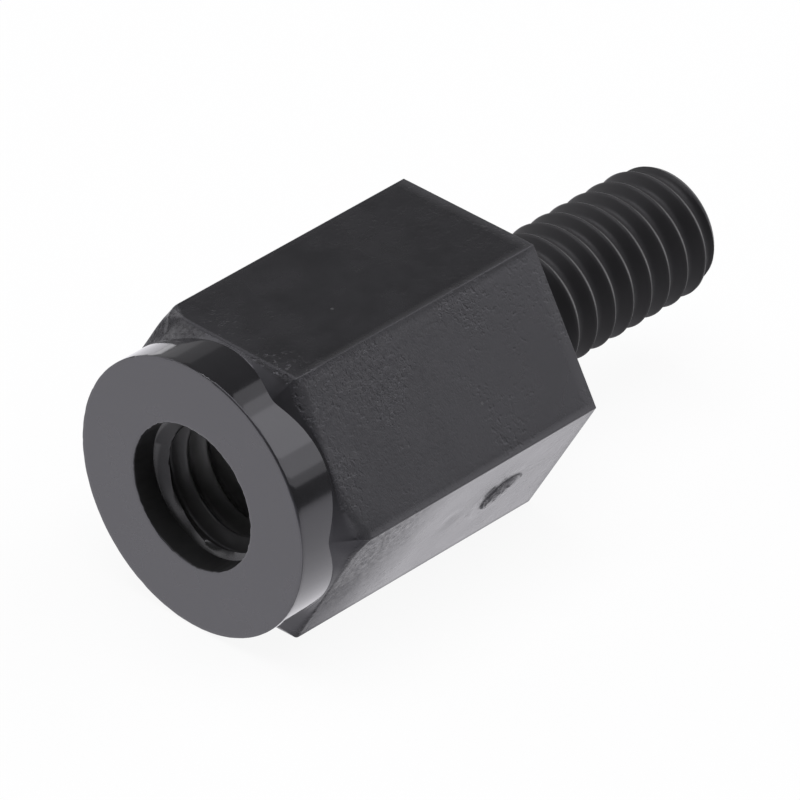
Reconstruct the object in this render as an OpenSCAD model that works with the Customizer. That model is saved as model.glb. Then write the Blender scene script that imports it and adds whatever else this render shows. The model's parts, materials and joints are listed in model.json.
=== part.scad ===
// Hex standoff, stud at one end and threaded socket at the other, moulded in one piece.
// It lies on one hex flat with its axis along X: the collar faces +X and the stud -X.
// The origin is at the middle of the footprint, on the surface that it lies on.

/* [Hex body] */
// Width across the hex flats
across_flats = 7.9; // [7.8:0.05:9]
// Length of the flats, from the shoulder at the stud to the taper at the collar
flat_len = 8.7; // [6:0.1:8.7]
// Depth by which the six long edges are broken
edge_break = 0.008; // [0.004:0.002:0.2]
// Angle between the flats and the six taper planes at the collar end
taper_angle = 47; // [40:1:60]

/* [Collar] */
// Diameter of the round collar
collar_d = 7.8; // [7:0.05:7.8]
// Length from the shoulder to the collar's face
body_len = 10.15; // [10:0.05:20]
// Chamfer round the rim of the collar's face
rim_break = 0.05; // [0.02:0.01:0.2]

/* [Socket] */
// Diameter of the smooth entry
entry_d = 4.1; // [4:0.05:4.6]
// Depth of the smooth entry
entry_depth = 0.7; // [0.3:0.05:0.9]
// Angle between the axis and the cone that leads from the entry to the bore
cone_angle = 67; // [45:1:75]
// Bore diameter inside the crests of the socket's thread
minor_d = 3.3; // [3.2:0.05:3.5]
// Depth of the socket from the collar's face
socket_depth = 7.2; // [4:0.1:8]

/* [Stud] */
// Diameter over the crests of the stud's thread
stud_d = 3.75; // [3.7:0.01:3.98]
// Length of the stud from the shoulder to its tip
stud_len = 7.85; // [5:0.05:12]
// Length of the rounded lead-in at the tip
lead_len = 1; // [0.5:0.1:1.5]
// Diameter of the flat end of the tip
tip_d = 2.9; // [2.5:0.1:3.1]

/* [Stud thread] */
// Distance between the turns
pitch = 0.7; // [0.5:0.05:0.8]
// Depth from the crests to the roots
thread_depth = 0.28; // [0.2:0.01:0.4]
// Width of the flat crests
crest_width = 0.1; // [0.06:0.01:0.2]
// Width of the flat roots
root_width = 0.2; // [0.1:0.01:0.3]
// Turn of the ridge's start about the axis
thread_turn = 92; // [-180:1:180]
// Length of the plain land at the shoulder, on which the thread runs out
land_len = 1.05; // [0.35:0.05:2.1]
// Straight pieces in one turn of the ridge
turn_steps = 24; // [18:6:48]

/* [Gate mark] */
// Distance of the gate mark from the shoulder
gate_at = 2.4; // [1.5:0.1:5]
// Diameter of the shallow recess round the gate
gate_d = 1.5; // [1:0.1:2]
// Depth of the recess
gate_depth = 0.1; // [0.05:0.01:0.25]
// Diameter of the stub that the gate left in the recess
stub_d = 0.6; // [0.3:0.1:0.8]
// Height of the stub above the recess's floor
stub_h = 0.08; // [0.02:0.01:0.2]

/* [Hidden] */
$fn = 96;
// Overlap that keeps joined and cut shapes clear of shared faces
bite = 0.5;
corner_r = across_flats / 2 / cos(30);
// Wide enough to span the hex at any turn
span = 3 * across_flats;
entry_cone = (entry_d - minor_d) / 2 / tan(cone_angle);
// The taper planes run this far in from the flats, which takes them well inside the collar
taper_drop = 1;
taper_rise = taper_drop / tan(taper_angle);
shoulder_x = (stud_len - body_len) / 2;
// Angle between the points of the lead-in's arc
lead_lean = 15;
// Depth by which the thread's ridge is sunk into the core
sunk = 0.04;
// The crests stay this far below the land's surface, so that the ridge ends in its end plane
crest_gap = 0.01;

// Side view of one pair of flats, drawn along the axis, with the taper at its collar end
module flat_pair() {
    half = across_flats / 2;
    rotate([90, 0, 0])
        linear_extrude(height = span, center = true)
            polygon([
                [-half, 0],
                [half, 0],
                [half, flat_len],
                [half - taper_drop, flat_len + taper_rise],
                [taper_drop - half, flat_len + taper_rise],
                [-half, flat_len]
            ]);
}

// Three crossed pairs of flats make the hex, and a turned envelope breaks its long edges
module hex_body() {
    intersection() {
        flat_pair();
        rotate([0, 0, 60]) flat_pair();
        rotate([0, 0, 120]) flat_pair();
        cylinder(h = flat_len + taper_rise, r = corner_r - edge_break);
    }
}

// Round collar that the six taper planes run into, which leaves its scalloped rear edge
module collar() {
    start = flat_len - bite;
    rotate_extrude()
        polygon([
            [0, start],
            [collar_d / 2, start],
            [collar_d / 2, body_len - rim_break],
            [collar_d / 2 - rim_break, body_len],
            [0, body_len]
        ]);
}

// Space inside the socket: smooth entry, cone and bore, with a flat bottom
module socket() {
    floor_z = body_len - socket_depth;
    cone_z = body_len - entry_depth - entry_cone;
    translate([0, 0, floor_z])
        cylinder(h = socket_depth, d = minor_d);
    translate([0, 0, cone_z])
        cylinder(h = entry_cone, d1 = minor_d, d2 = entry_d);
    translate([0, 0, body_len - entry_depth])
        cylinder(h = entry_depth + bite, d = entry_d);
}

// Right-handed ridge of the stud's thread, wound from beyond the tip into the shoulder.
// Its section is a trapezium whose foot lies inside the core.
module thread_ridge() {
    crest_r = stud_d / 2 - crest_gap;
    foot_r = crest_r - thread_depth - sunk;
    slope = (pitch - crest_width - root_width) / 2 / thread_depth;
    half_foot = crest_width / 2 + slope * (thread_depth + sunk);
    section = [
        [foot_r, -half_foot],
        [crest_r, -crest_width / 2],
        [crest_r, crest_width / 2],
        [foot_r, half_foot]
    ];
    steps = turn_steps * (ceil(stud_len / pitch) + 1);
    rings = [
        for (step = [0 : steps], corner = section)
            let (turn = thread_turn + 360 * step / turn_steps)
                [
                    corner[0] * cos(turn),
                    corner[0] * sin(turn),
                    corner[1] - stud_len - pitch + pitch * step / turn_steps
                ]
    ];
    sides = [
        for (step = [0 : steps - 1], side = [0 : 3])
            let (here = 4 * step + side, next = 4 * step + (side + 1) % 4)
                each [[here, next, next + 4], [here, next + 4, here + 4]]
    ];
    start_cap = [3, 2, 1, 0];
    end_cap = [4 * steps, 4 * steps + 1, 4 * steps + 2, 4 * steps + 3];
    polyhedron(points = rings, faces = concat(sides, [start_cap, end_cap]));
}

// Envelope of the thread: the rounded lead-in at the tip, and behind it twice the stud's width
module lead_in() {
    tip_r = tip_d / 2;
    rise = stud_d / 2 - tip_r;
    rounding = [
        for (lean = [0 : lead_lean : 90])
            [tip_r + rise * sin(lean), lead_len * (1 - cos(lean)) - stud_len]
    ];
    rotate_extrude()
        polygon(concat(
            [[0, -stud_len]],
            rounding,
            [[stud_d, bite + lead_len - stud_len], [stud_d, bite], [0, bite]]
        ));
}

// Threaded stud, with a plain land between the thread and the shoulder
module stud() {
    intersection() {
        lead_in();
        union() {
            translate([0, 0, -stud_len - bite])
                cylinder(h = stud_len + 2 * bite, r = stud_d / 2 - thread_depth);
            thread_ridge();
        }
    }
    translate([0, 0, -land_len])
        cylinder(h = land_len + bite, d = stud_d);
}

// Shallow round recess with the gate's stub left standing in it
module gate_mark() {
    difference() {
        cylinder(h = gate_depth + bite, d = gate_d);
        translate([0, 0, -bite])
            cylinder(h = stub_h + bite, d = stub_d);
    }
}

module standoff() {
    color([0.22, 0.22, 0.23])
        translate([shoulder_x, 0, across_flats / 2])
            rotate([0, 90, 0])
                difference() {
                    union() {
                        hex_body();
                        collar();
                        stud();
                    }
                    socket();
                    rotate([0, 0, 60])
                        translate([across_flats / 2 - gate_depth, 0, gate_at])
                            rotate([0, 90, 0])
                                gate_mark();
                }
}

standoff();
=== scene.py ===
"""Looks of a moulded nylon hex standoff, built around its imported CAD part.

The part lies along X on one of its hex flats: the stud points to -X and the collar to +X.
Lengths are in millimetres until a mesh is made, and stations run along the axis from the
shoulder, positive towards the collar. Angles are in degrees round the axis, from +Y towards +Z.
"""

import json
import logging
from dataclasses import dataclass, field
from enum import Enum
from math import atan, ceil, cos, degrees, exp, hypot, pi, radians, sin, sqrt, tan
from typing import Callable, Sequence

import bmesh
import bpy
from mathutils import Matrix, Vector, noise


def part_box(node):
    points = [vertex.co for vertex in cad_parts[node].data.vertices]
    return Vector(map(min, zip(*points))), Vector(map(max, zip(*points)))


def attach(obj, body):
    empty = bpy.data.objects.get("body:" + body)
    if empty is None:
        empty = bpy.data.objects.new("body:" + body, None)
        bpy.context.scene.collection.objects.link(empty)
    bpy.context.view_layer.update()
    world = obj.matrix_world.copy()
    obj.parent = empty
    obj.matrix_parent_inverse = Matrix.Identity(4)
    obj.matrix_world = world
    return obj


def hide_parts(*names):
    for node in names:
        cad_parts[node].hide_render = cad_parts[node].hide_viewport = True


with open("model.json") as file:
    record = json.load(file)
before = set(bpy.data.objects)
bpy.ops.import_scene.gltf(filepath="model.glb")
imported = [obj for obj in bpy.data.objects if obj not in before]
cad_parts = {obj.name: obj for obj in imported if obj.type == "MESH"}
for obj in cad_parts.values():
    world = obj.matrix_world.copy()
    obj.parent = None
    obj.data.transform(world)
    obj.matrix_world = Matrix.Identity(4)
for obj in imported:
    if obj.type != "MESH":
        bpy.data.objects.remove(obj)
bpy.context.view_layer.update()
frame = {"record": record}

LOG = logging.getLogger("standoff")
MM = 0.001
IMAGE_SIDE = 800
SHARP_ANGLE = 38.0
COS_30, TAN_30 = cos(radians(30)), tan(radians(30))
TURNED = [360 * n / 144 for n in range(144)]
Colour = tuple[float, float, float]
Ring = Sequence[int]
Plug = bpy.types.NodeSocket


def smooth_step(value: float, low: float, high: float) -> float:
    """Return the share, from 0 to 1, of a rise without a kink between low and high."""
    share = min(1.0, max(0.0, (value - low) / (high - low)))
    return share * share * (3 - 2 * share)


def mix(first: float, second: float, share: float) -> float:
    """Return the number that lies at this share of the way from first to second."""
    return first + (second - first) * share


def bell(offset: float, width: float) -> float:
    """Return the height of a smooth bump, 1 at its middle."""
    return exp(-(offset / width) ** 2)


def stand(name: str, data: bpy.types.ID) -> bpy.types.Object:
    """Make an object of this data.

    Args:
        name: The object's name.
        data: Its mesh, camera or light.

    Returns:
        The object, linked to the scene.
    """
    made = bpy.data.objects.new(name, data)
    bpy.context.scene.collection.objects.link(made)
    return made


def aim(made: bpy.types.Object, axes: Sequence[Vector], spot: Vector) -> None:
    """Put an object at a spot, in millimetres, and turn it to three axes."""
    turned = Matrix(axes).transposed().to_4x4()
    made.matrix_world = Matrix.Translation(spot * MM) @ turned


class Zone(Enum):
    """Surfaces of the moulding that have a finish of their own, in material slot order."""

    FLATS = 0
    COLLAR = 1
    FACE = 2
    SOCKET = 3
    STUD = 4


@dataclass(frozen=True)
class Sizes:
    """Main sizes of the standoff, read from the CAD frame.

    Args:
        shoulder_x: Place of the shoulder plane along X.
        apothem: Half the width across the flats, and the axis's height.
        corner_reach: Distance from the axis to the hex's corners.
        body_len: Length from the shoulder to the collar's face.
        stud_len: Length from the shoulder to the stud's tip.
        stud_r: Radius of the stud's plain land.
        land_len: Length of that land.
        bore_r: Radius inside the crests of the socket's thread.
    """

    shoulder_x: float
    apothem: float
    corner_reach: float
    body_len: float
    stud_len: float
    stud_r: float
    land_len: float
    bore_r: float

    @classmethod
    def from_frame(cls) -> "Sizes":
        """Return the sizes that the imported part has."""
        low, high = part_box("standoff")
        mounts = {mount["name"]: mount for mount in frame["record"]["mounts"]}
        shoulder_x = mounts["shoulder_face"]["pos_m"][0]
        return cls(
            shoulder_x=shoulder_x / MM,
            apothem=(high.z - low.z) / 2 / MM,
            corner_reach=high.y / MM,
            body_len=(high.x - shoulder_x) / MM,
            stud_len=(shoulder_x - low.x) / MM,
            stud_r=mounts["stud"]["dims"]["r_mm"],
            land_len=mounts["stud"]["dims"]["length_mm"],
            bore_r=mounts["socket"]["dims"]["r_mm"],
        )


@dataclass
class Skin:
    """One closed surface that is sewn together from rings of points round the axis.

    Args:
        sizes: Main sizes, which place the axis.
        points: Places of the points, in metres.
        turns: Their angles.
        looks: What each point carries: texture, wear with painted light, and dullness with painted
            shading.
        faces: Corners and zone of each face.
    """

    sizes: Sizes
    points: list[Vector] = field(default_factory=list)
    turns: list[float] = field(default_factory=list)
    looks: list[tuple[float, ...]] = field(default_factory=list)
    faces: list[tuple[list[int], Zone]] = field(default_factory=list)

    def point(self, station: float, radius: float, angle: float, *look: float) -> int:
        """Add one point.

        Args:
            station: Place along the axis.
            radius: Distance from the axis.
            angle: Angle round the axis.
            look: Strength of the mould's texture, wear with painted light, and dullness with painted
                shading, 0 where left out.

        Returns:
            The point's number.
        """
        turn = radians(angle)
        self.points.append(Vector((
            (self.sizes.shoulder_x + station) * MM,
            radius * cos(turn) * MM,
            (self.sizes.apothem + radius * sin(turn)) * MM,
        )))
        self.turns.append(angle)
        self.looks.append(look)
        return len(self.points) - 1

    def ring(self, station: float, radius: float, angles: Sequence[float],
             *look: float) -> Ring:
        """Add a ring of points that look alike."""
        return [self.point(station, radius, angle, *look) for angle in angles]

    def face(self, corners: Sequence[int], zone: Zone) -> None:
        """Add a face without the corners that repeat, unless that flattens it.

        Args:
            corners: The points' numbers.
            zone: The face's finish.
        """
        kept = [c for n, c in enumerate(corners) if c != corners[n - 1]]
        if len(set(kept)) > 2:
            self.faces.append((kept, zone))

    def band(self, first: Ring, second: Ring, zone: Zone) -> Ring:
        """Join a ring to the next one, which has as many points.

        Args:
            first: Ring that comes first on the way from the stud's tip to the socket's floor.
            second: The next ring.
            zone: Finish between them.

        Returns:
            The second ring.
        """
        for corners in zip(first, [*first[1:], first[0]], [*second[1:], second[0]], second):
            self.face(corners, zone)
        return second

    def zip_flat(self, first: Ring, second: Ring, zone: Zone) -> None:
        """Join two rings on one plane that have different angles, with triangles.

        Args:
            first: Ring that the triangles start from.
            second: Ring that they reach.
            zone: Finish of the triangles.
        """
        start, reach = [*first, first[0]], [*second, second[0]]
        near, far = ([*(self.turns[n] for n in ring), 360.0] for ring in (first, second))
        a, b = 0, 0
        while a < len(first) or b < len(second):
            here = (start[a], reach[b])
            if b == len(second) or (a < len(first) and near[a + 1] <= far[b + 1]):
                a += 1
                self.face((here[0], start[a], here[1]), zone)
            else:
                b += 1
                self.face((here[0], reach[b], here[1]), zone)

    def fan(self, ring: Ring, station: float, zone: Zone, outward: bool) -> None:
        """Close a ring with a middle point.

        Args:
            ring: Ring to close.
            station: Place of the middle point.
            zone: Finish of the closing face.
            outward: True where the face looks along +X.
        """
        middle = self.point(station, 0.0, 0.0)
        for a, b in zip(ring, [*ring[1:], ring[0]]):
            self.face((a, b, middle) if outward else (b, a, middle), zone)

    def to_object(self, name: str, materials: Sequence[bpy.types.Material]) -> bpy.types.Object:
        """Make the Blender object.

        Args:
            name: The object's name.
            materials: One material for each zone, in the zones' order.

        Returns:
            The object, linked to the scene.
        """
        mesh = bpy.data.meshes.new(name)
        work = bmesh.new()
        layers = [work.verts.layers.float.new(key) for key in ("grain", "wear_and_painted_light", "dull_and_painted_shading")]
        corners = [work.verts.new(place) for place in self.points]
        for corner, look in zip(corners, self.looks):
            for layer, value in zip(layers, look):
                corner[layer] = value
        for loop, zone in self.faces:
            made = work.faces.new([corners[n] for n in loop])
            made.material_index = zone.value
            made.smooth = True
        loose = [corner for corner in corners if not corner.link_faces]
        bmesh.ops.delete(work, geom=loose, context="VERTS")
        bmesh.ops.recalc_face_normals(work, faces=work.faces)
        work.to_mesh(mesh)
        work.free()
        mesh.set_sharp_from_angle(angle=radians(SHARP_ANGLE))
        for material in materials:
            mesh.materials.append(material)
        piece = stand(name, mesh)
        weighted = piece.modifiers.new("flat_shading", "WEIGHTED_NORMAL")
        weighted.keep_sharp = True
        weighted.weight = 80
        return piece


@dataclass(frozen=True)
class Thread:
    """A thread's surface, as a radius for each station and angle.

    Args:
        crest_r: Radius at the crests.
        root_r: Radius at the roots, larger than crest_r inside a socket.
        crest_station: Station of one crest's middle at crest_angle.
        crest_angle: Angle at which that crest is.
        crest_half: Half the crest's width, as a share of the pitch.
        envelope: Limits the radius at a station.
        wear_and_painted_light: Gives the wear, with the painted light on crests and deep in the
            socket, at a station and share of the depth.
        matt: Gives the dullness, with painted shading, at an angle and share of the depth, or -1 on
            the envelope.
        soft: Rounding of the crests and roots, as a share of the flanks.
        rows: Places of the mesh's rows, from a crest's middle to a root's.
        root_half: Half the root's width, as a share of the pitch.
        pitch: Distance between turns.
    """

    crest_r: float
    root_r: float
    crest_station: float
    crest_angle: float
    crest_half: float
    envelope: Callable[[float, float], float]
    wear_and_painted_light: Callable[[float, float], float]
    matt: Callable[[float, float], float]
    soft: float = 0.1
    rows: tuple[float, ...] = (0.0, 0.035, 0.06, 0.085, 0.11, 0.17, 0.25, 0.31, 0.35, 0.39, 0.44)
    root_half: float = 0.1
    pitch: float = 0.7

    def phase(self, station: float, angle: float) -> float:
        """Return how many pitches lie between a crest's middle and this place."""
        return (station - self.crest_station) / self.pitch - (angle - self.crest_angle) / 360

    def station(self, phase: float, angle: float) -> float:
        """Return the station at which this angle has that phase."""
        return self.crest_station + self.pitch * (phase + (angle - self.crest_angle) / 360)

    def depth_share(self, station: float, angle: float) -> float:
        """Return how deep a place lies in the thread.

        Args:
            station: Place along the axis.
            angle: Angle round the axis.

        Returns:
            The share of the depth, from 0 at the crests to 1 at the roots.
        """
        away = 0.5 - abs(self.phase(station, angle) % 1.0 - 0.5)
        flank = (away - self.crest_half) / (0.5 - self.root_half - self.crest_half)
        soft = self.soft
        if flank < soft:
            return max(0.0, flank + soft) ** 2 / (4 * soft)
        if flank > 1 - soft:
            return 1 - max(0.0, 1 + soft - flank) ** 2 / (4 * soft)
        return flank

    def spot(self, station: float, angle: float) -> tuple[float, float, float]:
        """Return what the surface is like at a place.

        Args:
            station: Place along the axis.
            angle: Angle round the axis.

        Returns:
            The radius, the wear with its painted light, and the dullness with its painted shading.
        """
        share = self.depth_share(station, angle)
        bare = mix(self.crest_r, self.root_r, share)
        radius = self.envelope(station, bare)
        if abs(radius - bare) > 0.002:
            return radius, 0.0, self.matt(angle, -1.0)
        return radius, self.wear_and_painted_light(station, share), self.matt(angle, share)

    def ring(self, skin: Skin, station: float, *look: float) -> Ring:
        """Add a ring of points that lie on the thread's surface and look alike."""
        return [skin.point(station, self.spot(station, a)[0], a, *look) for a in TURNED]

    def wind(self, skin: Skin, low: Ring, high: Ring, span: tuple[float, float],
             zone: Zone) -> None:
        """Build the thread's surface between two rings, with rows that follow the helix.

        Args:
            skin: Surface that it joins.
            low: Ring at the lower station.
            high: Ring at the higher station.
            span: Stations of the two rings.
            zone: Finish of the surface.
        """
        phases = [*self.rows, 0.5, *(1 - row for row in reversed(self.rows[1:]))]
        count = len(phases)
        snap = 0.012 * self.pitch
        first = int(self.phase(span[0], 360.0) // 1) * count
        last = (ceil(self.phase(span[1], 0.0)) + 1) * count
        rows = []
        for row in range(first, last + 1):
            phase = row // count + phases[row % count]
            line = []
            for n, angle in enumerate(TURNED):
                station = self.station(phase, angle)
                if station <= span[0] + snap:
                    line.append(low[n])
                elif station >= span[1] - snap:
                    line.append(high[n])
                else:
                    radius, *look = self.spot(station, angle)
                    line.append(skin.point(station, radius, angle, 0, *look))
            rows.append(line)
        end = len(rows) - 1
        for n in range(end):
            for column in range(len(TURNED)):
                wrapped = column + 1 == len(TURNED)
                step, beside = (count, 0) if wrapped else (0, column + 1)
                over, under = rows[min(n + step, end)], rows[min(n + 1 + step, end)]
                skin.face((rows[n][column], over[beside], under[beside], rows[n + 1][column]), zone)


@dataclass
class GateMark:
    """Round recess in one flat, with the torn stub that the gate left in it.

    Args:
        flat_angle: Angle that the flat faces.
        station: Middle of the mark along the axis.
        radius: Radius of the recess.
        reach: Distance from its middle over which the mesh is fine.
        depth: Depth of the recess.
        lip_height: Height of the raised lip on its upper side.
        stub_r: Radius of the torn stub.
        nibs: Torn points, each with its place from the middle and its height.
        dent_station: Place of a faint round dent beside the mark.
        dent_depth: Depth of that dent.
    """

    flat_angle: float = 330.0
    station: float = 2.34
    radius: float = 0.64
    reach: float = 0.8
    depth: float = 0.1
    lip_height: float = 0.045
    stub_r: float = 0.42
    nibs: tuple[tuple[float, float, float], ...] = (
        (0.36, -0.42, 0.03), (0.27, 0.22, 0.03), (-0.32, -0.03, 0.02), (-0.04, 0.24, 0.03))
    dent_station: float = 4.25
    dent_depth: float = 0.012

    def spot(self, station: float, side: float) -> tuple[float, float]:
        """Return what the mark does to the flat at a place.

        Args:
            station: Place along the axis.
            side: Place across the flat, from its middle line.

        Returns:
            The depth, negative where the surface is raised, and the dullness.
        """
        along = station - self.station
        away = hypot(along, side)
        dent = 1 - smooth_step(hypot(station - self.dent_station, side - 0.05), 0.1, 0.6)
        ramp = smooth_step(0.72 * side + 0.69 * along, -0.6, 0.4)
        wall = bell(away - self.radius - 0.02, 0.07)
        inside = 1 - smooth_step(away, self.radius - 0.1, self.radius + 0.1)
        beside = 1 - smooth_step(away, self.radius, self.radius * 1.9)
        dull_and_painted_shading = max(sqrt(ramp) * max(0.75 * wall, 0.58 * inside, 0.3 * beside), 0.3 * dent)
        if away > self.radius * 2:
            return self.dent_depth * dent, dull_and_painted_shading
        rough = noise.fractal(Vector((along * 4.0, side * 4.0, 3.7)), 0.7, 2.2, 4)
        slow = noise.noise(Vector((along * 3.0, side * 3.0, 9.1)))
        inner = mix(0.1, self.radius - 0.2, ramp)
        bed = self.depth * ramp * (1 - smooth_step(away, inner, self.radius - 0.02))
        lip = bell(away - self.radius, 0.07) * smooth_step(along, -0.6, 0.1)
        outer = bell(away - 1.6 * self.radius, 0.1)
        tall = self.lip_height * max(0.25, 1 + 0.6 * rough + 1.2 * slow)
        halo = -ramp * (tall * lip + 0.006 * (1 + rough) * outer)
        torn = 1 - smooth_step(away, self.stub_r - 0.1, self.stub_r + 0.2)
        stub = torn * sqrt(ramp) * (0.025 + 0.06 * rough)
        nibs = sum(height * bell(hypot(along - x, side - y), 0.06) for x, y, height in self.nibs)
        return bed + halo - stub - nibs + self.dent_depth * dent, dull_and_painted_shading


@dataclass
class Body:
    """Hex body, its taper, the collar with its scalloped rear edge, and the collar's face.

    Args:
        sizes: Main sizes.
        flat_len: Length of the flats.
        taper_rise: Length of the taper for each millimetre that it drops.
        collar_r: Radius of the collar.
        shoulder_round: Rounding between the shoulder and the flats.
        taper_round: Rounding between the flats and the taper.
        corner_relief: How much earlier the taper starts at the lower right corner.
        root_lead: How much further along it meets the collar.
        notch_round: Half the angle over which the collar's notches are rounded.
        rim_round: Rounding of the collar's front rim.
        face_radii: Radii of the rings on the collar's face.
        gate: The mark on the lower right flat.
    """

    sizes: Sizes
    flat_len: float = 8.7
    taper_rise: float = 0.933
    collar_r: float = 3.9
    shoulder_round: float = 0.03
    taper_round: float = 0.12
    corner_relief: float = 0.29
    root_lead: float = 0.07
    notch_round: float = 3.0
    rim_round: float = 0.05
    face_radii: tuple[float, ...] = (3.78, 3.3, 2.8, 2.4)
    gate: GateMark = field(default_factory=GateMark)

    def corner_round(self) -> float:
        """Return the radius of the long edges that the corners' reach leaves."""
        sharp = self.sizes.apothem / COS_30
        return (sharp - self.sizes.corner_reach) / (1 / COS_30 - 1)

    def angles(self) -> list[float]:
        """Return the columns' angles: even ones, and more at the corners and the gate mark."""
        found = set(TURNED) | {1.25 * n for n in range(60, 124)}
        bend = self.corner_round()
        flat_end = atan((self.sizes.apothem - bend) * TAN_30 / self.sizes.apothem)
        half = 30 - degrees(flat_end)
        for share in (0.25, 0.5, 0.75, 1.0, 1.6, -0.25, -0.5, -0.75, -1.0, -1.6):
            found |= {round((corner + half * share) % 360, 3) for corner in range(0, 360, 60)}
        reach = degrees(atan(self.gate.reach / self.sizes.apothem))
        found |= {round((self.gate.flat_angle + reach * n / 34) % 360, 3) for n in range(-34, 35)}
        kept: list[float] = []
        for angle in sorted(found):
            if not kept or angle - kept[-1] > 0.04:
                kept.append(angle)
        return kept

    def outline(self, angle: float, apothem: float) -> float:
        """Return the radius of a hex with rounded corners.

        Args:
            angle: Angle round the axis.
            apothem: Distance from the axis to the hex's sides.

        Returns:
            The radius at that angle.
        """
        off_flat = (angle % 60) - 30
        off_corner = radians(30 - abs(off_flat))
        bend = min(self.corner_round(), apothem * 0.5)
        centre = (apothem - bend) / COS_30
        flat = apothem / cos(radians(off_flat))
        inside = bend * bend - (centre * sin(off_corner)) ** 2
        return flat if inside <= 0 else min(flat, centre * cos(off_corner) + sqrt(inside))

    def stations(self) -> list[float]:
        """Return the stations of the rows along the flats, closer together at the mark."""
        mark, reach, dent = self.gate.station, self.gate.reach, self.gate.dent_station + 0.6
        stops = (self.shoulder_round, mark - reach, mark + reach, dent, self.flat_len - 0.95)
        steps = zip(stops, stops[1:], (4, 64, 22, 16))
        return [mix(start, end, n / count) for start, end, count in steps for n in range(count)]

    def front(self, angle: float) -> tuple[float, float]:
        """Return where the flats end at an angle, and how round their front edge is there.

        Args:
            angle: Angle of the column.

        Returns:
            The station of the front edge, and the rounding measured along each side of it.
        """
        near = self.from_corner(angle)
        relief, corner_bend = 0.0, 0.08
        if angle < 30:
            relief, corner_bend = self.corner_relief * bell(near, 0.7), 0.16
        elif angle > 330:
            relief, corner_bend = self.corner_relief * bell(near, 0.25), 0.05
        elif abs(angle - 120) < 30:
            relief, corner_bend = 0.15 * bell(near, 0.5), 0.25
        flat_bend = 0.05 if int(angle // 60) in (1, 5) else self.taper_round
        bend = mix(corner_bend, flat_bend, smooth_step(near, 0.0, 0.5))
        if 30 < angle < 60:
            bend += 0.12 * bell(near - 0.6, 0.4)
        return self.flat_len - relief, bend

    def from_corner(self, angle: float) -> float:
        """Return the distance across the flat from the nearest long edge."""
        return self.sizes.apothem * (TAN_30 - tan(radians(abs(angle % 60 - 30))))

    def taper_line(self, angle: float) -> list[tuple[float, ...]]:
        """Return one column from the flats' front end to the collar.

        Args:
            angle: Angle of the column.

        Returns:
            Rows of station, radius, angle, texture, wear and dullness, the dullness holding painted
            shade in the pockets.
        """
        front, bend = self.front(angle)
        edge = Vector((front, self.outline(angle, self.sizes.apothem)))
        off = 30 - abs(angle % 60 - 30)
        drop = self.sizes.apothem - self.collar_r * cos(radians(30 - hypot(off, self.notch_round)))
        root = Vector((self.flat_len + self.root_lead + self.taper_rise * drop, self.collar_r))
        length = (root - edge).length
        along = (root - edge).normalized()
        start, bend = edge - Vector((bend, 0)), min(bend, 0.42 * length)
        end = edge + along * bend
        beside = angle - 122
        coarse = 1 - smooth_step(max(-beside, 0.5 * beside), 12, 30)
        near = self.from_corner(angle)
        # Painted shade: the pockets between the hex corners and the collar are dulled so that they
        # look shaded.
        pocket_shade = 0.68 * (1 - smooth_step(near, 0.9, 1.9)) + 0.1 * (1 - smooth_step(near, 0.0, 0.15))
        tip = self.tip_painted_shade(angle)
        shaded = mix(0.1, 0.62, smooth_step(beside, -4, 2)) * coarse
        sag = 0.1 * exp(-off ** 2 / 40) * (90 < angle < 150)
        rows = []
        for n in range(6):
            share = n / 5
            place = start * (1 - share) ** 2 + edge * 2 * share * (1 - share) + end * share ** 2
            texture = mix(self.texture(front, angle), 1.5, share)
            dark = max(
                tip * smooth_step(share, 0.0, 0.6), shaded * share, self.low_dull(front, angle),
                0.55 * smooth_step(share, 0.0, 0.4) * (60 < angle < 114))
            rows.append((place.x, place.y, angle, texture, sin(pi * share), dark))
        for n in range(1, 9):
            share = n / 8
            place = edge + along * mix(bend, length, share)
            texture = max(0.9 * (1 - smooth_step(share, 0.0, 0.35)), 1.7 * coarse)
            fade = 0.45 if angle < 300 else 0.1
            # Painted shade: the taper is also dulled in the crease where it meets the collar.
            dark = max(
                max(tip, pocket_shade * smooth_step(share, 0.0, fade)) * (1 - coarse),
                0.6 * smooth_step(share, 0.6, 0.9) * (1 - coarse), shaded)
            rows.append((place.x, place.y - sag * sin(pi * share), angle, texture, coarse, dark))
        return rows

    def tip_painted_shade(self, angle: float) -> float:
        """Return the painted shade, given as dullness, in the pockets at the flats' front tips,
        strongest at the lower right.
        """
        span = (0.05, 0.3) if 30 < angle < 90 else (0.0, 1.1 if angle < 30 else 0.2)
        return 0.45 * (1 - smooth_step(self.from_corner(angle), *span)) * (not 90 <= angle <= 330)

    def low_dull(self, station: float, angle: float) -> float:
        """Return how matt the lower right flat is, most at the low side of its front."""
        strength = mix(0.25, 0.6, smooth_step(330 - angle, -22, 15)) * (angle > 300)
        return strength * smooth_step(station, 5.0, 8.6)

    def texture(self, station: float, angle: float) -> float:
        """Return how strongly the mould's eroded texture shows on the flats.

        Args:
            station: Place along the axis.
            angle: Angle round the axis.

        Returns:
            The strength, from 0 upwards.
        """
        flat = int(angle // 60)
        across = (angle % 60 - 30) / 30
        to_front = smooth_step(station, 0.8, 6.4)
        if flat == 0:
            return mix(0.12, 1.0, to_front) * mix(0.5, 1.0, smooth_step(across, -0.8, 0.6))
        if flat == 1:
            return 0.1 + 0.4 * smooth_step(station, 8.58, 8.75)
        if flat == 5:
            upper = mix(0.7, 1.6, smooth_step(across, -0.9, 0.3))
            return 0.12 + upper * smooth_step(station, 5.0, 8.0)
        return 0.2 + 0.3 * to_front

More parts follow.
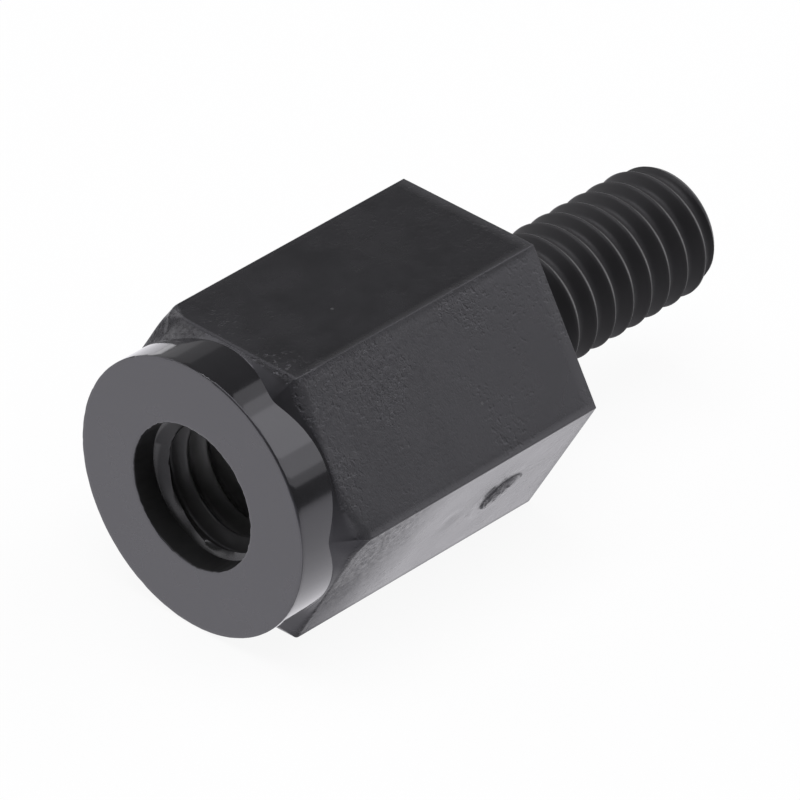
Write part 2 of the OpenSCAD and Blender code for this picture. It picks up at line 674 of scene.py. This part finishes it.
    def rim(self, angle: float) -> float:
        """Return the rounding of the collar's rim, which varies round it.

        Args:
            angle: Angle round the axis.

        Returns:
            The radius of the rounding.
        """
        turn = radians(angle)
        torn = mix(0.4, 1.2, smooth_step(cos(turn - radians(120)), 0.6, 0.8))
        whole = mix(0.35, 1.0, smooth_step(cos(turn - radians(47)), 0.75, 0.88))
        slow, fine = uneven(turn, 2.2, 0.4), uneven(turn, 30, 5.1)
        return self.rim_round * max(0.25, whole * (1 + 0.3 * slow) + torn * fine)

    def build(self, skin: Skin, stud_ring: Ring) -> Ring:
        """Build the body from the stud's root to the collar's face.

        Args:
            skin: Surface that it joins.
            stud_ring: The stud's last ring, on the shoulder plane.

        Returns:
            The innermost ring on the collar's face.
        """
        angles = self.angles()
        rings = [skin.ring(0.0, self.sizes.stud_r + 0.35, angles)]
        skin.zip_flat(stud_ring, rings[0], Zone.FLATS)
        bend = self.shoulder_round
        for n in range(5):
            lean = radians(90 * n / 4)
            station, apothem = bend * (1 - cos(lean)), self.sizes.apothem - bend * (1 - sin(lean))
            rings.append([
                skin.point(station, self.outline(a, apothem), a, 0.4, n / 4, 0.5 * (a < 270))
                for a in angles
            ])
        for station in self.stations()[1:]:
            rings.append([self.flat_point(skin, station, a) for a in angles])
        for rows in zip(*(self.taper_line(a) for a in angles)):
            rings.append([skin.point(*row) for row in rows])
        for first, second in zip(rings, rings[1:]):
            skin.band(first, second, Zone.FLATS)
        return self.build_collar(skin, rings[-1], angles)

    def flat_point(self, skin: Skin, station: float, angle: float) -> int:
        """Add one point of the flats, sunk where the gate mark is.

        Args:
            skin: Surface that it joins.
            station: Place along the axis.
            angle: Angle round the axis.

        Returns:
            The point's number.
        """
        radius = self.outline(angle, self.sizes.apothem)
        turn = radians(angle - self.gate.flat_angle)
        dull_and_painted_shading = 0.0
        if abs(sin(turn)) < 0.4 and cos(turn) > 0:
            sunk, dull_and_painted_shading = self.gate.spot(station, radius * sin(turn))
            radius -= sunk / cos(turn)
        edge = 1 - smooth_step(30 - abs((angle % 60) - 30), 0.2, 0.8)
        texture = max(self.texture(station, angle), smooth_step(dull_and_painted_shading, 0.2, 0.5))
        dull_and_painted_shading = max(dull_and_painted_shading, self.low_dull(station, angle), 0.6 * edge * (abs(angle - 60) < 30))
        if angle < 60:
            dull_and_painted_shading = max(dull_and_painted_shading, mix(0.3, 0.24, smooth_step(station, 0.8, 6.4)))
        return skin.point(station, radius, angle, texture, edge, dull_and_painted_shading)

    def build_collar(self, skin: Skin, start: Ring, angles: Sequence[float]) -> Ring:
        """Build the collar's side, rim and face.

        Args:
            skin: Surface that it joins.
            start: Ring where the taper ends.
            angles: The columns' angles.

        Returns:
            The innermost ring on the face.
        """
        end = self.sizes.body_len
        last = start
        begin = [skin.points[n].x / MM - self.sizes.shoulder_x for n in start]
        bends = [self.rim(angle) for angle in angles]
        for share in (0.01, 0.15, 0.3, 0.45, 0.6, 0.75, 0.9, 1.0):
            ring = [
                skin.point(mix(first, end - bend, share), self.collar_r, angle)
                for first, bend, angle in zip(begin, bends, angles)
            ]
            last = skin.band(last, ring, Zone.COLLAR)
        for row in range(1, 6):
            lean = radians(90 * row / 5)
            ring = []
            for bend, angle in zip(bends, angles):
                # Painted shade: the rim is dulled round 47 degrees so that it shows a dark line.
                side = abs((angle - 47 + 180) % 360 - 180)
                dark = mix(1.0, 0.4, smooth_step(side, 28, 36)) * (row < 5)
                station = end - bend * (1 - sin(lean))
                radius = self.collar_r - bend * (1 - cos(lean))
                ring.append(skin.point(station, radius, angle, row < 5, sin(2 * lean), dark))
            last = skin.band(last, ring, Zone.COLLAR if row < 4 else Zone.FACE)
        for radius in self.face_radii:
            last = skin.band(last, skin.ring(end, radius, angles), Zone.FACE)
        return last


def uneven(turn: float, size: float, seed: float) -> float:
    """Return noise that runs smoothly round the axis, finer for a larger size."""
    return noise.noise(Vector((size * cos(turn), size * sin(turn), seed)))


@dataclass
class Socket:
    """Smooth entry, threaded bore and floor of the socket.

    Args:
        sizes: Main sizes.
        entry_r: Radius of the smooth entry.
        entry_depth: Depth of the smooth entry.
        cone_angle: Angle between the axis and the cone behind the entry.
        depth: Depth of the socket.
        root_r: Radius at the roots of the thread.
        mouth_round: Rounding of the mouth's edge.
        entry_dull: Dullness of the smooth entry.
        deep_dull: Dullness of the grooves and the floor.
    """

    sizes: Sizes
    entry_r: float = 2.05
    entry_depth: float = 0.7
    cone_angle: float = 67.0
    depth: float = 7.2
    root_r: float = 2.03
    mouth_round: float = 0.04
    entry_dull: float = 0.62
    deep_dull: float = 0.66

    def envelope(self, station: float, radius: float) -> float:
        """Widen the thread's radius to the entry's cone near the mouth."""
        from_cone = self.sizes.body_len - self.entry_depth - station
        return max(radius, self.entry_r - from_cone * tan(radians(self.cone_angle)))

    def painted_bore_light(self, station: float, share: float) -> float:
        """Return the painted light that makes the thread paler, growing inwards and into its grooves.
        """
        return smooth_step(self.sizes.body_len - station, 0.9, 2.4) * mix(0.8, 1.4, share)

    def matt(self, angle: float, share: float) -> float:
        """Return the thread's dullness, and the cone's, whose low side shines most as a painted
        highlight.
        """
        cone = mix(0.57, 0.12, smooth_step(-sin(radians(angle)), 0.3, 0.95))
        return cone if share < 0 else mix(0.5, self.deep_dull, smooth_step(share, 0.0, 0.3))

    def mouth(self, angle: float) -> float:
        """Return the mouth's radius, with the small burrs that its edge has."""
        turn = radians(angle)
        return self.entry_r + 0.014 * uneven(turn, 6, 8.3) + 0.022 * uneven(turn, 24, 2.6)

    def build(self, skin: Skin, face_ring: Ring) -> None:
        """Build the socket inwards from the collar's face.

        Args:
            skin: Surface that it joins.
            face_ring: Innermost ring on the collar's face.
        """
        end, bend = self.sizes.body_len, self.mouth_round
        last = skin.ring(end, self.entry_r + 0.12, TURNED)
        skin.zip_flat(face_ring, last, Zone.FACE)
        for row in range(6):
            lean = radians(90 * row / 5)
            station, over = end - bend * (1 - cos(lean)), bend * (1 - sin(lean))
            dull_and_painted_shading = self.entry_dull * (row > 1)
            ring = [skin.point(station, self.mouth(a) + over, a, 0, 0, dull_and_painted_shading) for a in TURNED]
            last = skin.band(last, ring, Zone.FACE if row < 3 else Zone.SOCKET)
        base, top = end - self.depth, end - self.entry_depth
        thread = Thread(
            crest_r=self.sizes.bore_r, root_r=self.root_r, crest_station=9.43,
            crest_angle=-115.0, crest_half=0.05, envelope=self.envelope, wear_and_painted_light=self.painted_bore_light,
            matt=self.matt, rows=(0.0, 0.03, 0.07, 0.12, 0.23, 0.34, 0.4, 0.45),
        )
        low = thread.ring(skin, base, 0, 1, self.deep_dull)
        wall = skin.ring(top + 0.02, self.entry_r, TURNED, 0, 0, self.entry_dull)
        high = thread.ring(skin, top)
        skin.band(skin.band(last, wall, Zone.SOCKET), high, Zone.SOCKET)
        thread.wind(skin, low, high, (base, top), Zone.SOCKET)
        bottom = skin.ring(base, self.sizes.bore_r * 0.8, TURNED, 0, 1, self.deep_dull)
        skin.fan(skin.band(low, bottom, Zone.SOCKET), base, Zone.SOCKET, outward=True)


@dataclass
class Stud:
    """Threaded stud with a rounded lead-in and a plain land at the shoulder.

    Args:
        sizes: Main sizes.
        depth: Depth of the thread, from the land's radius to the roots.
        crest_gap: How far the crests stay below the land.
        lead_len: Length over which the thread tapers away at the tip.
        tip_r: Radius of the flat end.
        land_round: Rounding where the thread meets the land.
    """

    sizes: Sizes
    depth: float = 0.28
    crest_gap: float = 0.01
    lead_len: float = 1.0
    tip_r: float = 1.45
    land_round: float = 0.03

    def envelope(self, station: float, radius: float) -> float:
        """Narrow the thread's radius along the rounded lead-in."""
        share = min(1.0, max(0.0, (station + self.sizes.stud_len) / self.lead_len))
        return min(radius, mix(self.tip_r, self.sizes.stud_r, sqrt(1 - (1 - share) ** 2)))

    def rubbed_and_highlit(self, station: float, share: float) -> float:
        """Return how much the crests are rubbed, which also paints them paler as a highlight."""
        return 1 - smooth_step(share, 0.0, 0.3)

    def matt(self, angle: float, share: float) -> float:
        """Return the dullness, which is least on the thread's upper side: painted light that makes
        the top paler.
        """
        return 0.56 - 0.26 * smooth_step(cos(radians(angle - 115)), 0.3, 0.9)

    def build(self, skin: Skin) -> Ring:
        """Build the stud from its tip to the shoulder.

        Args:
            skin: Surface that it joins.

        Returns:
            The ring on the shoulder plane.
        """
        tip, land = -self.sizes.stud_len, -self.sizes.land_len
        over, edge = self.sizes.stud_r, self.land_round
        thread = Thread(
            crest_r=over - self.crest_gap, root_r=over - self.depth, crest_station=-4.268,
            crest_angle=43.9, crest_half=0.04, envelope=self.envelope, wear_and_painted_light=self.rubbed_and_highlit,
            matt=self.matt, soft=0.2,
        )
        flat = skin.ring(tip, self.tip_r - 0.08, TURNED, 0, 0, 0.5)
        low = skin.ring(tip, self.tip_r, TURNED, 0, 0, 0.5)
        skin.fan(flat, tip, Zone.STUD, outward=False)
        skin.band(flat, low, Zone.STUD)
        last = thread.ring(skin, land)
        thread.wind(skin, low, last, (tip, land), Zone.STUD)
        for station, radius in ((land, over - edge), (land + edge, over), (0.0, over)):
            last = skin.band(last, skin.ring(station, radius, TURNED), Zone.STUD)
        return last


@dataclass
class Tree:
    """Short ways of adding and joining nodes in one node tree.

    Args:
        tree: The node tree of a material, a world or a node group.
    """

    tree: bpy.types.NodeTree

    @classmethod
    def emptied(cls, owner: bpy.types.ID) -> "Tree":
        """Return the node tree of a material or a world, with nothing in it."""
        owner.use_nodes = True
        owner.node_tree.nodes.clear()
        return cls(owner.node_tree)

    def node(self, kind: str, **settings: object) -> bpy.types.Node:
        """Add a node.

        Args:
            kind: Blender's name of the node, after "ShaderNode".
            settings: Attributes that it gets.

        Returns:
            The node.
        """
        made = self.tree.nodes.new("ShaderNode" + kind)
        for name, value in settings.items():
            setattr(made, name, value)
        return made

    def put(self, target: Plug, value: object) -> None:
        """Link value to an input if it is an output, and else set it there.

        Args:
            target: The input.
            value: An output, a number or a colour.
        """
        if isinstance(value, Plug):
            self.tree.links.new(value, target)
        else:
            target.default_value = value

    def fed(self, kind: str, inputs: dict[object, object], **settings: object) -> bpy.types.Node:
        """Add a node with these inputs.

        Args:
            kind: Blender's name of the node, after "ShaderNode".
            inputs: Names or places of inputs, with an output or value for each.
            settings: Attributes that it gets.

        Returns:
            The node.
        """
        made = self.node(kind, **settings)
        for key, value in inputs.items():
            self.put(made.inputs[key], value)
        return made

    def math(self, operation: str, *values: object, clamp: bool = False) -> Plug:
        """Return the output of a Math node that has these values in its inputs."""
        inputs = dict(enumerate(values))
        return self.fed("Math", inputs, operation=operation, use_clamp=clamp).outputs[0]

    def noise(self, scale: object, detail: float, roughness: float,
              distortion: float = 0.0) -> Plug:
        """Return the factor of a noise texture that is fixed to the object."""
        inputs = {"Vector": self.place(), "Scale": scale, "Detail": detail,
                  "Roughness": roughness, "Distortion": distortion}
        return self.fed("TexNoise", inputs).outputs["Fac"]

    def place(self) -> Plug:
        """Return the place in the object's own frame."""
        return self.node("TexCoord").outputs["Object"]

    def map_range(self, *values: object) -> Plug:
        """Map a value smoothly from a low and high to another low and high."""
        inputs = dict(enumerate(values))
        return self.fed("MapRange", inputs, interpolation_type="SMOOTHSTEP").outputs[0]

    def attribute(self, name: str) -> Plug:
        """Return a number that the mesh carries at its points."""
        return self.node("Attribute", attribute_name=name).outputs["Fac"]

    def colour(self, *levels: object) -> Plug:
        """Return the colour that has these levels of red, green and blue."""
        return self.fed("CombineColor", dict(enumerate(levels))).outputs[0]

    def blend(self, kind: str, first: object, second: object) -> Plug:
        """Return two colours blended in full, in Blender's way of this name."""
        inputs = {"Factor": 1.0, "A": first, "B": second}
        return self.fed("Mix", inputs, data_type="RGBA", blend_type=kind).outputs["Result"]


class Effect(Enum):
    """Node groups that the finishes share."""

    ERODED_GRAIN = "eroded_grain"
    MOULD_WAVES = "mould_waves"
    HANDLING = "handling_marks"


class EffectBox:
    """Holds the shared node groups, each made once."""

    def __init__(self) -> None:
        """Make the groups."""
        self.made = {
            Effect.ERODED_GRAIN: self.make_grain(),
            Effect.MOULD_WAVES: self.make_waves(),
            Effect.HANDLING: self.make_handling(),
        }

    def open(self, effect: Effect, name: str, value: float) -> tuple[Tree, Plug]:
        """Make an empty group.

        Args:
            effect: Which group it is.
            name: Name of its number input.
            value: The input's usual value.

        Returns:
            The tree, and its input.
        """
        tree = bpy.data.node_groups.new(effect.value, "ShaderNodeTree")
        socket = tree.interface.new_socket(name=name, in_out="INPUT", socket_type="NodeSocketFloat")
        socket.default_value = value
        return Tree(tree), tree.nodes.new("NodeGroupInput").outputs[name]

    def close(self, work: Tree, outputs: dict[str, Plug]) -> bpy.types.NodeTree:
        """Give a group its outputs.

        Args:
            work: The group's tree.
            outputs: Names of the number outputs, with what feeds them.

        Returns:
            The group.
        """
        for name in outputs:
            work.tree.interface.new_socket(
                name=name, in_out="OUTPUT", socket_type="NodeSocketFloat")
        result = work.tree.nodes.new("NodeGroupOutput")
        for name, value in outputs.items():
            work.put(result.inputs[name], value)
        return work.tree

    def make_grain(self) -> bpy.types.NodeTree:
        """Make the worm-like ridges that a spark-eroded mould leaves, in patches."""
        work, size = self.open(Effect.ERODED_GRAIN, "Size", 9000.0)
        ridges = work.noise(size, 2.0, 0.55, 0.7)
        ridge = work.math("ABSOLUTE", work.math("SUBTRACT", ridges, 0.5))
        ridge = work.math("SUBTRACT", 1.0, work.math("MULTIPLY", ridge, 5.0), clamp=True)
        hollows = work.noise(work.math("MULTIPLY", size, 1.4), 1.0, 0.5)
        pit = work.math("MULTIPLY", work.math("SUBTRACT", hollows, 0.56), 6.0, clamp=True)
        ridge = work.math("MULTIPLY_ADD", pit, -1.6, work.math("MULTIPLY", ridge, 0.6))
        fine = work.noise(work.math("MULTIPLY", size, 3.1), 2.0, 0.6)
        patches = work.map_range(work.noise(420.0, 2.0, 0.5, 0.3), 0.41, 0.59, 0.1, 1.0)
        height = work.math("MULTIPLY_ADD", fine, 0.3, work.math("MULTIPLY", ridge, patches))
        return self.close(work, {"Height": height, "Ragged": work.noise(6500.0, 4.0, 0.7)})

    def make_waves(self) -> bpy.types.NodeTree:
        """Make the slow waves that a polished mould and shrinking leave in a surface."""
        work, size = self.open(Effect.MOULD_WAVES, "Size", 320.0)
        return self.close(work, {"Height": work.noise(size, 1.0, 0.4, 0.2)})

    def make_handling(self) -> bpy.types.NodeTree:
        """Make light specks of dust and small nicks."""
        work, amount = self.open(Effect.HANDLING, "Amount", 0.05)
        cells = work.fed("TexVoronoi", {"Scale": 2600.0, "Vector": work.place()})
        near = work.map_range(cells.outputs["Distance"], 0.2, 0.06)
        split = work.fed("SeparateColor", {0: cells.outputs["Color"]})
        chosen = work.math("LESS_THAN", split.outputs[0], amount)
        speck = work.math("MULTIPLY", near, chosen)
        return self.close(work, {"Speck": speck, "Tone": work.noise(700.0, 3.0, 0.6)})


@dataclass(frozen=True)
class NylonFinish:
    """One finish of the black nylon.

    Args:
        name: Material's name.
        roughness: Roughness of the surface.
        wave_depth: Height of the slow waves.
        speck: Share of cells that hold a light speck.
        coat: Weight of the glossy skin that polished steel leaves.
        coat_rough: Roughness of that skin.
        level: Strength of the reflection under that skin.
        base: Colour of the nylon.
        rough_spread: How much the roughness varies.
        grain_size: Ridges of the eroded texture for each metre.
        grain_depth: Height of that texture.
        grain_rough: How much the texture roughens the surface.
        index: Index of refraction.
        wear_and_light_lift: How much paler worn places are, and places with painted light.
        mottle: How unevenly the textured surface shines.
        sheen: Weight of the pale veil at glancing angles.
    """

    name: str
    roughness: float
    wave_depth: float
    speck: float
    coat: float
    coat_rough: float
    level: float
    base: Colour = (0.0145, 0.0143, 0.0158)
    rough_spread: float = 0.06
    grain_size: float = 9000.0
    grain_depth: float = 0.0
    grain_rough: float = 0.0
    index: float = 1.68
    wear_and_light_lift: float = 0.006
    mottle: float = 2.6
    sheen: float = 0.0

    def make(self, effects: EffectBox) -> bpy.types.Material:
        """Make the material.

        Args:
            effects: Shared node groups.

        Returns:
            The material.
        """
        material = bpy.data.materials.new(self.name)
        work = Tree.emptied(material)
        grain, waves, marks = (work.node("Group", node_tree=effects.made[e]) for e in Effect)
        grain.inputs["Size"].default_value = self.grain_size
        marks.inputs["Amount"].default_value = self.speck
        speck, tone = marks.outputs["Speck"], marks.outputs["Tone"]
        textured, worn_and_lit = work.attribute("grain"), work.attribute("wear_and_painted_light")
        ragged = work.math("MULTIPLY_ADD", grain.outputs["Ragged"], 0.5, -0.25)
        ragged = work.math("MULTIPLY", ragged, textured)
        # Dullness lowers the coat and roughens the surface; it also carries painted shade in the hex
        # pockets and on the collar's rim, and painted light on the stud's upper side and the socket
        # cone's low side.
        dull_and_painted_shading = work.map_range(work.math("ADD", work.attribute("dull_and_painted_shading"), ragged), 0.15, 0.85)
        patchy = work.math("MULTIPLY", ragged, self.mottle)
        bright = work.math("ADD", work.math("SUBTRACT", 1.0, dull_and_painted_shading), patchy)
        bright = work.math("MAXIMUM", bright, 0.03)

        # Wear lifts the colour; on the stud's crests this is also a painted highlight, and deep in
        # the socket it is painted light.
        light = work.math("MULTIPLY_ADD", speck, 0.05, work.math("MULTIPLY", worn_and_lit, self.wear_and_light_lift))
        lifted = work.blend("ADD", (*self.base, 1.0), work.colour(light, light, light))
        shade = work.map_range(tone, 0.3, 0.7, 0.85, 1.15)
        rough = work.map_range(tone, 0.25, 0.75, -self.rough_spread, self.rough_spread)
        rough = work.math("ADD", rough, self.roughness)
        for cause, amount in ((worn_and_lit, 0.12), (dull_and_painted_shading, 0.2), (textured, self.grain_rough)):
            rough = work.math("MULTIPLY_ADD", cause, amount, rough)
        wave = work.fed("Bump", {"Distance": self.wave_depth * MM,
                                 "Height": waves.outputs["Height"]})
        bump = work.fed("Bump", {
            "Distance": self.grain_depth * MM, "Normal": wave.outputs[0],
            "Height": work.math("MULTIPLY", grain.outputs["Height"], textured)})
        shader = work.fed("BsdfPrincipled", {
            "Base Color": work.blend("MULTIPLY", lifted, work.colour(shade, shade, shade)),
            "Roughness": work.math("MULTIPLY_ADD", speck, 0.2, rough, clamp=True),
            "IOR": self.index,
            "Normal": bump.outputs[0],
            "Specular IOR Level": self.level,
            "Specular Tint": (0.92, 0.91, 1.0, 1.0),
            "Coat Weight": work.math("MULTIPLY", bright, self.coat, clamp=True),
            "Coat Roughness": self.coat_rough,
            "Sheen Weight": self.sheen,
            "Sheen Roughness": 0.4,
        })
        work.fed("OutputMaterial", {"Surface": shader.outputs[0]})
        return material


def finishes() -> dict[Zone, NylonFinish]:
    """Return the finish of each zone."""
    return {
        Zone.FLATS: NylonFinish(
            "nylon_spark_eroded", roughness=0.23, wave_depth=0.0025, speck=0.02, coat=0.52,
            coat_rough=0.22, level=0.36, rough_spread=0.04, grain_size=5200.0,
            grain_depth=0.02, grain_rough=0.22, wear_and_light_lift=0.011, mottle=6.0),
        Zone.COLLAR: NylonFinish(
            "nylon_polished", roughness=0.1, wave_depth=0.002, speck=0.0, coat=0.85,
            coat_rough=0.08, level=0.28, rough_spread=0.02),
        Zone.FACE: NylonFinish(
            "nylon_satin_face", roughness=0.25, wave_depth=0.0008, speck=0.004, coat=0.6,
            coat_rough=0.2, level=0.5),
        Zone.SOCKET: NylonFinish(
            "nylon_socket", roughness=0.27, wave_depth=0.003, speck=0.0, coat=1.0,
            coat_rough=0.2, level=0.14, base=(0.02, 0.02, 0.02), wear_and_light_lift=0.2),
        Zone.STUD: NylonFinish(
            "nylon_stud", roughness=0.55, wave_depth=0.001, speck=0.004, coat=0.55,
            coat_rough=0.5, level=0.15, base=(0.0135, 0.013, 0.0138), index=1.5,
            wear_and_light_lift=0.002, sheen=0.34),
    }


@dataclass(frozen=True)
class Eye:
    """Camera of the photograph, placed from the shoulder's middle.

    Args:
        azimuth: Angle from +X towards +Y, in degrees.
        elevation: Angle above the floor, in degrees.
        roll: Turn of the picture, in degrees.
        distance: Distance from the shoulder's middle.
        pan: How far the middle of the picture lies right of and above it.
        focal_pixels: Focal length, in pixels of the picture.
    """

    azimuth: float = 43.26
    elevation: float = 33.35
    roll: float = 0.45
    distance: float = 250.9
    pan: tuple[float, float] = (-1.73, -1.548)
    focal_pixels: float = 9700.8

    def place(self, sizes: Sizes) -> None:
        """Make the camera and give it to the scene.

        Args:
            sizes: Main sizes of the part.
        """
        turn, lift, roll = (radians(a) for a in (self.azimuth, self.elevation, self.roll))
        back = Vector((cos(lift) * cos(turn), cos(lift) * sin(turn), sin(lift)))
        level = Vector((0, 0, 1)).cross(back).normalized()
        rise = back.cross(level)
        right = level * cos(roll) + rise * sin(roll)
        up = rise * cos(roll) - level * sin(roll)
        middle = Vector((sizes.shoulder_x, 0, sizes.apothem))
        spot = middle + back * self.distance + right * self.pan[0] + up * self.pan[1]
        data = bpy.data.cameras.new("camera")
        data.sensor_width = 36.0
        data.lens = self.focal_pixels / IMAGE_SIDE * data.sensor_width
        data.clip_start = 0.005
        data.clip_end = 10.0
        bpy.context.scene.camera = stand("camera", data)
        aim(bpy.context.scene.camera, (right, up, back), spot)


@dataclass(frozen=True)
class Softbox:
    """A flat soft light that faces the part, set by two directions that its edges lie in.

    A round surface along X mirrors a ring of directions into the camera, all as far from
    -X as the camera is from +X. The angles count along that ring, from +Y towards +Z.

    Args:
        name: Light's name.
        start: Ring angle of its first edge.
        end: Ring angle of its other edge.
        distance: Distance from the part.
        width: Width along its edges.
        radiance: Brightness of its face, where 1 is white.
        reach: The ring's share along X, negative away from the camera.
    """

    name: str
    start: float
    end: float
    distance: float
    width: float
    radiance: float
    reach: float = -0.608

    def edge(self, angle: float) -> Vector:
        """Return the middle of the edge at a ring angle."""
        turn, share = radians(angle), sqrt(1 - self.reach ** 2)
        return Vector((self.reach, share * cos(turn), share * sin(turn))) * self.distance

    def place(self) -> None:
        """Make the light and aim it at the part."""
        first, second = self.edge(self.start), self.edge(self.end)
        middle = (first + second) / 2
        rise = (second - first).normalized()
        across = rise.cross(middle).normalized()
        data = bpy.data.lights.new(self.name, "AREA")
        data.shape = "RECTANGLE"
        data.size = self.width * MM
        data.size_y = (second - first).length * MM
        data.energy = self.radiance * pi * data.size * data.size_y
        data.color = (1.0, 0.99, 1.02)
        aim(stand(self.name, data), (across, rise, across.cross(rise)), middle)


@dataclass(frozen=True)
class Studio:
    """Pale floor, dim room and soft lights.

    Args:
        floor_side: Side of the floor.
        lit_reach: Distance at which the floor's light fades.
        lit_way: Direction of that fading.
        room: Brightness of the room.
        seen_glow: Share of plain white in what the camera sees of the floor.
        mirrored_colour: Colour of the floor in the part's reflections.
        lights: The soft lights.
    """

    floor_side: float = 900.0
    lit_reach: float = 70.0
    lit_way: Colour = (-0.616, 0.788, 0.0)
    room: float = 0.12
    seen_glow: float = 0.92
    mirrored_colour: Colour = (0.97, 0.955, 1.0)
    lights: tuple[Softbox, ...] = (
        Softbox("back_right_light", 10.5, 98.0, 330.0, 300.0, 0.56),
        Softbox("back_middle_light", 19.0, 86.0, 322.0, 300.0, 0.53),
        Softbox("back_bright_light", 36.0, 74.0, 314.0, 280.0, 0.5),
        Softbox("left_card", 140.0, 170.0, 322.0, 240.0, 0.12),
        Softbox("left_low_card", 156.0, 170.5, 318.0, 240.0, 0.12),
        Softbox("sweep", 171.5, 179.0, 330.0, 300.0, 1.0),
        Softbox("overhead_light", 62.0, 118.0, 330.0, 250.0, 2.9, reach=0.08),
        Softbox("front_left_light", 158.0, 179.0, 330.0, 160.0, 1.0, reach=0.816),
        Softbox("left_light", 128.0, 168.0, 330.0, 240.0, 1.2, reach=0.15),
    )

    def build(self) -> None:
        """Make the floor, the room and the lights."""
        self.lay_floor()
        self.fill_room()
        for light in self.lights:
            light.place()

    def lay_floor(self) -> None:
        """Lay a plain pale floor that shows white and keeps a soft shadow."""
        half = self.floor_side / 2 * MM
        mesh = bpy.data.meshes.new("floor")
        corners = [(x, y, 0) for x, y in ((-half, -half), (half, -half), (half, half), (-half, half))]
        work = bmesh.new()
        work.faces.new([work.verts.new(corner) for corner in corners])
        work.to_mesh(mesh)
        work.free()
        mesh.materials.append(self.floor_material())
        floor = stand("floor", mesh)

    def floor_material(self) -> bpy.types.Material:
        """Return the floor's material."""
        material = bpy.data.materials.new("floor_white")
        work = Tree.emptied(material)
        rays, reach = work.node("LightPath").outputs, self.lit_reach * MM
        far = work.fed("VectorMath", {0: work.place(), 1: self.lit_way}, operation="DOT_PRODUCT")
        lit = work.map_range(far.outputs["Value"], 0.15 * reach, 1.5 * reach, 1.0, 0.12)
        seen = rays["Is Camera Ray"]
        white = work.math("MAXIMUM", seen, lit)
        cool = work.colour(*(work.math("MAXIMUM", seen, level) for level in self.mirrored_colour))
        pale = work.math("MULTIPLY", white, 0.9)
        mirrored = work.math("MAXIMUM", rays["Is Glossy Ray"], rays["Is Transmission Ray"])
        share = work.math("MAXIMUM", work.math("MULTIPLY", seen, self.seen_glow), mirrored)
        matt = work.fed("BsdfDiffuse", {"Color": work.colour(pale, pale, pale)})
        glow = work.fed("Emission", {"Strength": white, "Color": cool})
        both = work.fed("MixShader", {0: share, 1: matt.outputs[0], 2: glow.outputs[0]})
        work.fed("OutputMaterial", {"Surface": both.outputs[0]})
        return material

    def fill_room(self) -> None:
        """Fill the room with dim light, and show it white behind the floor."""
        bpy.context.scene.world = bpy.data.worlds.new("room")
        work = Tree.emptied(bpy.context.scene.world)
        seen = work.node("LightPath").outputs["Is Camera Ray"]
        glow = work.fed("Background", {"Strength": work.math("MAXIMUM", seen, self.room)})
        work.fed("OutputWorld", {"Surface": glow.outputs[0]})


@dataclass
class Standoff:
    """The whole moulding as one closed surface.

    Args:
        sizes: Main sizes.
    """

    sizes: Sizes

    def build(self, effects: EffectBox) -> bpy.types.Object:
        """Build the surface, dress it and let it stand for the CAD node.

        Args:
            effects: Shared node groups.

        Returns:
            The finished piece.
        """
        skin = Skin(self.sizes)
        shoulder = Stud(self.sizes).build(skin)
        face = Body(self.sizes).build(skin, shoulder)
        Socket(self.sizes).build(skin, face)
        made = finishes()
        piece = skin.to_object("moulded_standoff", [made[zone].make(effects) for zone in Zone])
        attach(piece, "root")
        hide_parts("standoff")
        return piece


def report_piece(piece: bpy.types.Object) -> None:
    """Log a piece's name and the number of its triangles."""
    triangles = sum(len(face.vertices) - 2 for face in piece.data.polygons)
    LOG.info("%s: %d triangles", piece.name, triangles)


def main() -> None:
    """Build the part, the studio and the camera."""
    logging.basicConfig(level=logging.INFO, format="%(message)s")
    bpy.context.scene.view_settings.view_transform = "Standard"
    sizes = Sizes.from_frame()
    report_piece(Standoff(sizes).build(EffectBox()))
    Studio().build()
    Eye().place(sizes)


if __name__ == "__main__":
    main()
